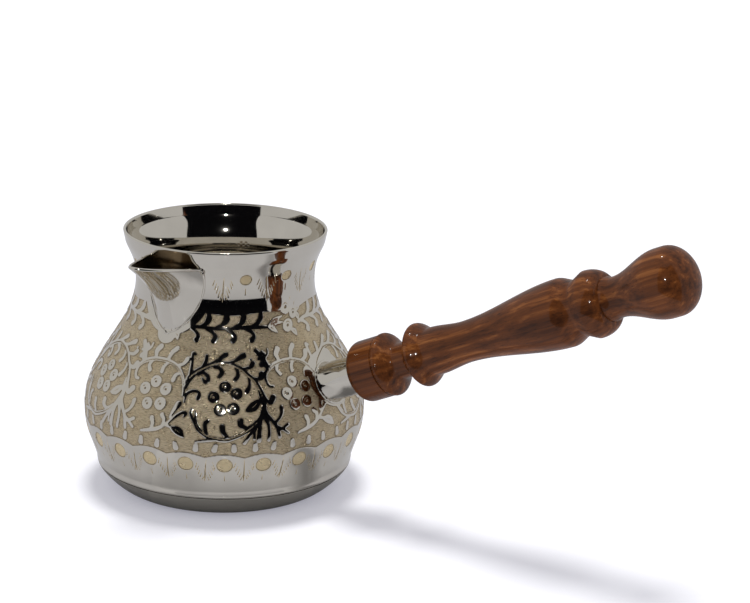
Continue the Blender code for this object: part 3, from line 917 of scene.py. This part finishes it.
def make_body():
    rows = wall_rows()
    radii, heights = OUTLINE.at_arc(rows)
    azimuths = np.arange(COLUMNS) * (math.tau / COLUMNS)
    plated = engrave(azimuths, rows, radii)
    depth = np.clip(-plated / GROUND_SLOPE, 0.0, 1.0)
    depth = GROUND_DEPTH * depth * depth * (3 - 2 * depth)
    slope_r = np.gradient(radii, rows)
    slope_z = np.gradient(heights, rows)
    wall_r = radii[:, None] - depth * slope_z[:, None]
    wall_z = heights[:, None] + depth * slope_r[:, None]
    inner = np.array(offset_outline(body_outline(20), -WALL))[1:]
    top = np.array((RIM_RADIUS - WALL, RIM_HEIGHT - RIM_ROUNDING))
    steps = np.array((0.06, 0.2, 0.4, 0.6, 0.8))[:, None]
    inner = np.concatenate((top + (inner[0] - top) * steps, inner))
    angles = np.radians(np.linspace(12, 168, 13))
    edge = np.stack((RIM_RADIUS - RIM_ROUNDING + RIM_ROUNDING * np.cos(angles),
                     RIM_HEIGHT - RIM_ROUNDING + RIM_ROUNDING * np.sin(angles)), axis=1)
    seam = np.array([(SEAM_RADIUS - WALL, LAP_HEIGHT), (SEAM_RADIUS - 0.4, LAP_HEIGHT),
                     (SEAM_RADIUS - 0.15, LAP_HEIGHT + 0.2), (SEAM_RADIUS, SEAM_HIGH - 0.5)])
    plain = np.concatenate((edge, inner, seam))
    all_r = np.concatenate((wall_r, np.repeat(plain[:, :1], COLUMNS, axis=1)))
    all_z = np.concatenate((wall_z, np.repeat(plain[:, 1:], COLUMNS, axis=1)))
    points = np.stack((all_r * np.cos(azimuths), all_r * np.sin(azimuths), all_z), axis=2) * MM
    rings = len(all_r)
    ring = np.arange(rings)[:, None]
    column = np.arange(COLUMNS)[None, :]
    after = (column + 1) % COLUMNS
    above = (ring + 1) % rings
    faces = np.stack((ring * COLUMNS + column, ring * COLUMNS + after,
                      above * COLUMNS + after, above * COLUMNS + column), axis=2)
    mesh = bpy.data.meshes.new("pot_body")
    mesh.vertices.add(rings * COLUMNS)
    mesh.vertices.foreach_set("co", points.astype(np.float32).ravel())
    mesh.loops.add(faces.size)
    mesh.loops.foreach_set("vertex_index", faces.astype(np.int32).ravel())
    mesh.polygons.add(rings * COLUMNS)
    mesh.polygons.foreach_set("loop_start", np.arange(0, faces.size, 4, dtype=np.int32))
    mesh.update(calc_edges=True)
    mesh.shade_smooth()
    field = np.full((rings, COLUMNS), 1.0, np.float32)
    field[:len(plated)] = np.clip(plated, -2.0, 2.0)
    attribute = mesh.attributes.new("plated", "FLOAT", "POINT")
    attribute.data.foreach_set("value", field.ravel())
    return new_object("engraved_body", mesh)


def make_base():
    """Pressed pan: slightly hollow foot, rounded edge, and the lip that laps inside the body."""
    seam = (SEAM_RADIUS - 0.2, SEAM_LOW - GAP)
    outer = [seam] + bezier(seam, (SEAM_RADIUS - 0.4, SEAM_LOW - 1.4),
                            (BASE_FLAT_RADIUS + 4.3, 0.0), (BASE_FLAT_RADIUS, 0.0), 30)
    inner = offset_outline(outer, -WALL)
    lip_outer = SEAM_RADIUS - WALL - GAP - 0.2
    lip_inner = lip_outer - 0.8
    rim_of_flat = BASE_FLAT_RADIUS - 3.0
    points = [(r, 0.35 * math.cos(r / rim_of_flat * math.pi / 2) ** 0.5)
              for r in np.linspace(0.0, rim_of_flat, 30)[:-1]]
    points += [(rim_of_flat, 0.0)] + list(reversed(outer))
    points += [(lip_outer, SEAM_LOW - GAP), (lip_outer, SEAM_HIGH - 0.6)]
    points += [(lip_inner, SEAM_HIGH - 0.6), (lip_inner, SEAM_LOW - GAP - 0.8)]
    points += [point for point in inner[1:-1] if point[1] > WALL + 0.02]
    points += [(r, WALL) for r in np.linspace(BASE_FLAT_RADIUS, 0.0, 12)]
    points = [(float(r), float(z)) for r, z in points]
    points[0] = (0.0, points[0][1])
    points[-1] = (0.0, WALL)
    pan = turned("base_pan", points, 192)
    face_outwards(pan)
    return pan


def drill_strainer(body):
    """One hole in the middle and six around it, through the neck behind the beak."""
    places = [(0.0, STRAINER_HEIGHT)]
    places += [(STRAINER_PITCH * math.cos(math.tau * index / 6),
                STRAINER_HEIGHT + STRAINER_PITCH * math.sin(math.tau * index / 6))
               for index in range(6)]
    drills = []
    for across, height in places:
        rings = [[(across + STRAINER_RADIUS * math.cos(angle), -reach,
                   height + STRAINER_RADIUS * math.sin(angle))
                  for angle in (math.tau * step / 32 for step in range(32))]
                 for reach in (WAIST_RADIUS - 6.0, WAIST_RADIUS + 6.0)]
        drills.append(loft("drill", rings, around=False, cap=True))
    drill = join("drill", drills)
    face_outwards(drill)
    cut = body.modifiers.new("strainer", "BOOLEAN")
    cut.operation = "DIFFERENCE"
    cut.solver = "EXACT"
    cut.object = drill
    with bpy.context.temp_override(object=body, active_object=body):
        bpy.ops.object.modifier_apply(modifier=cut.name)
    bpy.data.objects.remove(drill)


# ---- the beak --------------------------------------------------------------------------
def sink(point, depth):
    """The point moved towards the pot's axis."""
    level = Vector((point.x, point.y, 0.0))
    return point - level.normalized() * depth


def make_spout():
    """Beak of sheet metal with a rolled lip. Its feet end inside the thickness of the neck."""
    across, rises = 48, 36
    outer = []
    for step in range(rises + 1):
        rise = 0.02 + 0.98 * (step / rises) ** 1.2
        section = spout_section(rise, across)
        section = [sink(section[0], 0.6)] + section + [sink(section[-1], 0.6)]
        outer.append(section)
    inner = []
    for row, section in enumerate(outer):
        below, above = outer[max(row - 1, 0)], outer[min(row + 1, rises)]
        line = []
        for index, point in enumerate(section):
            before = section[max(index - 1, 0)]
            after = section[min(index + 1, len(section) - 1)]
            normal = (after - before).cross(above[index] - below[index]).normalized()
            if normal.dot(Vector((0.0, 1.0, 0.35))) < 0.0:
                normal = -normal
            line.append(point + normal * SPOUT_WALL)
        inner.append(line)
    count = len(outer[0])
    points = [point for section in outer + inner for point in section]
    offset = (rises + 1) * count
    faces = []
    for row in range(rises):
        for index in range(count - 1):
            a, b = row * count + index, row * count + index + 1
            faces.append((b, a, a + count, b + count))
            faces.append((offset + a, offset + b, offset + b + count, offset + a + count))
        for index in (0, count - 1):
            a = row * count + index
            faces.append((a, a + count, offset + a + count, offset + a))
    for row in (0, rises):
        for index in range(count - 1):
            a, b = row * count + index, row * count + index + 1
            faces.append((a, b, offset + b, offset + a))
    beak = mesh_from("beak", points, faces)
    face_outwards(beak)
    dull = beak.data.attributes.new("dull", "FLOAT", "POINT")
    dull.data.foreach_set("value", [0.0] * offset + [1.0] * offset)
    lip = [(a + b) / 2 for a, b in zip(outer[-1], inner[-1])]
    radii = [LIP_RADIUS] * len(lip)
    edge = tube("lip", [point + Vector((0, 0, 0.05)) for point in lip], radii)
    return join("beak", [beak, edge, *make_spout_solder()])


def make_spout_solder():
    """Uneven brazing along the beak's feet, with a drop at each upper corner."""
    chance = random.Random(11)
    steps = 60
    path = []
    for step in range(2 * steps + 1):
        side = 1.0 if step <= steps else -1.0
        part = abs(step - steps) / steps
        rise = part ** 1.6
        height = SPOUT_LOW + (SPOUT_CORNER_HEIGHT - SPOUT_LOW) * rise
        half_width = spout_half_width(rise)
        reach = math.sqrt(float(OUTLINE.radius(height)) ** 2 - half_width ** 2)
        path.append(Vector((side * half_width, -reach, height - (0.5 if part < 0.02 else 0.0))))
    radii = [0.36 + 0.07 * math.sin(0.55 * step) + 0.05 * math.sin(0.21 * step)
             for step in range(len(path))]
    pieces = [tube("solder", path, radii, 12)]
    for end in (path[0], path[-1]):
        for drop in range(2):
            centre = end + Vector((chance.uniform(-0.3, 0.3), chance.uniform(0.0, 0.2),
                                   0.1 - 0.9 * drop))
            pieces.append(make_blob("drop", centre, 0.9 - 0.15 * drop))
    return pieces


def make_blob(name, centre, radius):
    """A small uneven drop of solder."""
    shape = bmesh.new()
    bmesh.ops.create_icosphere(shape, subdivisions=3, radius=1.0)
    for vertex in shape.verts:
        wave = 1.0 + 0.12 * math.sin(5 * vertex.co.x + 3 * vertex.co.z + centre.x)
        vertex.co = (centre + vertex.co * radius * wave) * MM
    mesh = bpy.data.meshes.new(name)
    shape.to_mesh(mesh)
    shape.free()
    mesh.shade_smooth()
    return new_object(name, mesh)


# ---- socket and handle -----------------------------------------------------------------
HANDLE_AXIS = (Matrix.Translation((0.0, 0.0, HANDLE_AXIS_HEIGHT * MM))
               @ Matrix.Rotation(math.pi / 2 - HANDLE_SLOPE, 4, "Y"))


def belly_distance(radius, angle):
    """Where a line beside the handle's axis meets the wall, as a distance along the axis."""
    low, high = 30.0, 60.0
    for _ in range(40):
        middle = (low + high) / 2
        point = HANDLE_AXIS @ (Vector((radius * math.cos(angle), radius * math.sin(angle),
                                       middle)) * MM) / MM
        outside = math.hypot(point.x, point.y) > float(OUTLINE.radius(point.z))
        low, high = (low, middle) if outside else (middle, high)
    return high


def make_socket():
    """Tube that stands on the belly in a thin, uneven ring of solder."""
    steps = 96
    inner_radius = SOCKET_RADIUS - SOCKET_WALL
    outer = [(SOCKET_RADIUS - 0.25, SOCKET_END), (SOCKET_RADIUS, SOCKET_END - 0.25),
             (SOCKET_RADIUS, SOCKET_END - 5.0)]
    rings = [circle(radius, distance, steps) for radius, distance in outer]
    for radius, depth in ((SOCKET_RADIUS, -0.9), (SOCKET_RADIUS + 0.35, -0.35),
                          (SOCKET_RADIUS + 0.6, 0.4), (inner_radius, 0.4)):
        rings.append([(radius * math.cos(a), radius * math.sin(a),
                       belly_distance(radius, a) - depth)
                      for a in (math.tau * step / steps for step in range(steps))])
    rings.append(circle(inner_radius, SOCKET_END, steps))
    socket = loft("socket", rings, HANDLE_AXIS)
    face_outwards(socket)
    path = []
    for step in range(steps):
        angle = math.tau * step / steps
        radius = SOCKET_RADIUS + 0.75
        path.append(HANDLE_AXIS @ (Vector((radius * math.cos(angle), radius * math.sin(angle),
                                           belly_distance(radius, angle))) * MM) / MM)
    radii = [0.5 + 0.07 * math.sin(7 * math.tau * step / steps) + 0.05 * math.sin(1.7 * step)
             for step in range(steps)]
    ring = closed_tube("solder_ring", path, radii)
    face_outwards(ring)
    return join("socket", [socket, ring])


def make_handle():
    """One turned piece with a tenon for the socket and a blind bore for the stud."""
    outline = [(radius, WOOD_START + distance) for radius, distance in handle_outline(4)]
    tenon_start = WOOD_START - TENON_LENGTH
    points = [(0.0, BORE_END), (BORE_RADIUS, BORE_END), (BORE_RADIUS, tenon_start),
              (TENON_RADIUS - 0.4, tenon_start), (TENON_RADIUS, tenon_start + 0.4),
              (TENON_RADIUS, WOOD_START)] + outline
    points[-1] = (0.0, points[-1][1])
    handle = turned("turned_handle", points, 128, HANDLE_AXIS)
    face_outwards(handle)
    return handle


# ---- surroundings ----------------------------------------------------------------------
CAMERA_PLACE = (470.8, -666.8, 304.5)
CAMERA_TURN = math.radians(31.5)
CAMERA_TILT = math.radians(90.0 - 16.225)
CAMERA_ROLL = math.radians(1.3387)
CAMERA_LENS = 115.0

FLASH_PLACE = (461.0, -654.0, 460.0)
LAMP_PLACE = (-60.0, 90.0, 900.0)
KEY_DIRECTION = (-60.0, 90.0, 860.0)      # from the pot towards the broad overhead light
TENT_GREY = 0.58                          # brightness that the metal reflects
FILL = 0.54                               # brightness of the light that comes from around
TABLE_FRONT = 280.0                       # the table ends this far in front of the pot
DARK_FROM = math.radians(-97.3)           # azimuths of the dark opening behind the camera
DARK_TO = math.radians(-1.8)


def make_camera():
    camera = bpy.data.cameras.new("camera")
    camera.lens = CAMERA_LENS
    camera.sensor_width = 36.0
    camera.clip_start = 0.05
    obj = bpy.data.objects.new("camera", camera)
    bpy.context.scene.collection.objects.link(obj)
    obj.matrix_world = (Matrix.Translation(Vector(CAMERA_PLACE) * MM)
                        @ Matrix.Rotation(CAMERA_TURN, 4, "Z")
                        @ Matrix.Rotation(CAMERA_TILT, 4, "X")
                        @ Matrix.Rotation(CAMERA_ROLL, 4, "Z"))
    bpy.context.scene.camera = obj


def plain_material(name, colour, roughness, specular):
    nodes = Nodes(name)
    nodes.shader.inputs["Base Color"].default_value = (*colour, 1.0)
    nodes.shader.inputs["Roughness"].default_value = roughness
    nodes.shader.inputs["Specular IOR Level"].default_value = specular
    return nodes.material


def sector(name, radius, start, end, height, steps=32, low=0.0):
    """A flat sector of a disc, or an upright curved sheet when it has a height."""
    angles = [start + (end - start) * step / steps for step in range(steps + 1)]
    if height:
        points = [(radius * math.cos(a), radius * math.sin(a), z)
                  for z in (low, height) for a in angles]
        faces = [(i, i + 1, steps + 2 + i, steps + 1 + i) for i in range(steps)]
    else:
        points = [(0.0, 0.0, low)] + [(radius * math.cos(a), radius * math.sin(a), low)
                                      for a in angles]
        faces = [(0, i + 1, i + 2) for i in range(steps)]
    return mesh_from(name, points, faces)


def make_stage():
    """Pale floor, and what only reflections show: the table and a dark opening in the room."""
    floor = sector("floor", 6000.0, 0.0, math.tau, 0.0, 64, -0.1)
    pale = plain_material("pale_floor", (0.70, 0.70, 0.71), 1.0, 0.0)
    glow = pale.node_tree.nodes["Principled BSDF"].inputs
    glow["Emission Color"].default_value = (0.86, 0.86, 1.0, 1.0)
    glow["Emission Strength"].default_value = 0.33
    floor.data.materials.append(pale)
    floor.visible_glossy = False
    table = plain_material("table", (0.540, 0.543, 0.570), 0.9, 0.0)
    table.node_tree.nodes["Principled BSDF"].inputs["Coat Weight"].default_value = 1.0
    table.node_tree.nodes["Principled BSDF"].inputs["Coat Roughness"].default_value = 0.03
    # Painted shade: the table around the back and sides is a darker copy of the table in front.
    shaded = plain_material("table_behind", (0.480, 0.482, 0.508), 0.9, 0.0)
    near = sector("table_front", TABLE_FRONT, DARK_FROM, DARK_TO, 0.0, 32, -0.05)
    far = sector("table_back", 3000.0, DARK_TO, DARK_FROM + math.tau, 0.0, 64, -0.05)
    for sheet, material in ((near, table), (far, shaded)):
        sheet.data.materials.append(material)
        sheet.visible_camera = False
        sheet.visible_diffuse = False
        sheet.visible_shadow = False
    dark = sector("dark_opening", 1000.0, DARK_FROM, DARK_TO, 1900.0, 32, -400.0)
    dark.data.materials.append(plain_material("dark", (0.004, 0.004, 0.005), 1.0, 0.0))
    dark.visible_camera = False
    dark.visible_diffuse = False
    dark.visible_shadow = False


def make_light(name, place, size, power, colour, target=(0.0, 0.0, 45.0)):
    light = bpy.data.lights.new(name, "AREA")
    light.shape = "DISK"
    light.size = size * MM
    light.energy = power
    light.color = colour
    obj = bpy.data.objects.new(name, light)
    bpy.context.scene.collection.objects.link(obj)
    obj.location = Vector(place) * MM
    aim = Vector(target) * MM - obj.location
    obj.rotation_euler = aim.to_track_quat("-Z", "Y").to_euler()
    return obj


def make_lights():
    """A grey tent that the metal mirrors, a white surround, a soft key and two small lamps."""
    world = bpy.data.worlds.new("tent")
    bpy.context.scene.world = world
    world.use_nodes = True
    tree = world.node_tree
    background = tree.nodes["Background"]
    path = tree.nodes.new("ShaderNodeLightPath")
    shade = tree.nodes.new("ShaderNodeMapRange")
    shade.inputs["To Min"].default_value = 1.0
    shade.inputs["To Max"].default_value = TENT_GREY
    tree.links.new(path.outputs["Is Glossy Ray"], shade.inputs["Value"])
    fill = tree.nodes.new("ShaderNodeMapRange")
    fill.inputs["To Min"].default_value = 1.0
    fill.inputs["To Max"].default_value = FILL
    tree.links.new(path.outputs["Is Diffuse Ray"], fill.inputs["Value"])
    both = tree.nodes.new("ShaderNodeMath")
    both.operation = "MULTIPLY"
    tree.links.new(shade.outputs["Result"], both.inputs[0])
    tree.links.new(fill.outputs["Result"], both.inputs[1])
    background.inputs["Color"].default_value = (1.0, 1.0, 1.0, 1.0)
    tree.links.new(both.outputs[0], background.inputs["Strength"])
    key = bpy.data.lights.new("overhead_key", "SUN")
    key.energy = 2.05
    key.angle = math.radians(16.0)
    key_object = bpy.data.objects.new("overhead_key", key)
    bpy.context.scene.collection.objects.link(key_object)
    key_object.visible_glossy = False
    key_object.rotation_euler = Vector(KEY_DIRECTION).to_track_quat("Z", "Y").to_euler()
    flash = make_light("flash", FLASH_PLACE, 15.0, 1.1, (1.0, 1.0, 1.0))
    lamp = make_light("overhead_lamp", LAMP_PLACE, 60.0, 0.5, (1.0, 1.0, 1.0))
    for light in (flash, lamp):
        light.visible_diffuse = False
    bpy.context.scene.view_settings.view_transform = "Standard"


# ---- everything together ---------------------------------------------------------------
def dress(obj, material, slot, *nodes):
    obj.data.materials.clear()
    obj.data.materials.append(material)
    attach(obj, "root")
    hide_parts(*nodes)


def main():
    plain = nickel_material("nickel_plate")
    body = make_body()
    drill_strainer(body)
    dress(body, engraved_material("engraved_plate"), "nickel_plate", "pot_body")
    dress(make_base(), plain, "nickel_plate_plain", "pot_base")
    dress(make_spout(), plain, "nickel_plate_plain", "spout")
    dress(make_socket(), plain, "nickel_plate_plain", "handle_socket")
    dress(make_handle(), wood_material("lacquered_wood", HANDLE_AXIS), "lacquered_wood",
          "wooden_handle")
    brass = machined_material("turned_brass", (0.72, 0.53, 0.27), (0.5, 0.36, 0.18), 0.22)
    steel = machined_material("threaded_steel", (0.50, 0.50, 0.50), (0.32, 0.31, 0.30), 0.25)
    for node, material in (("socket_plug", brass), ("handle_stud", steel)):
        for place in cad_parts[node].material_slots:
            place.material = material
    make_stage()
    make_lights()
    make_camera()


main()
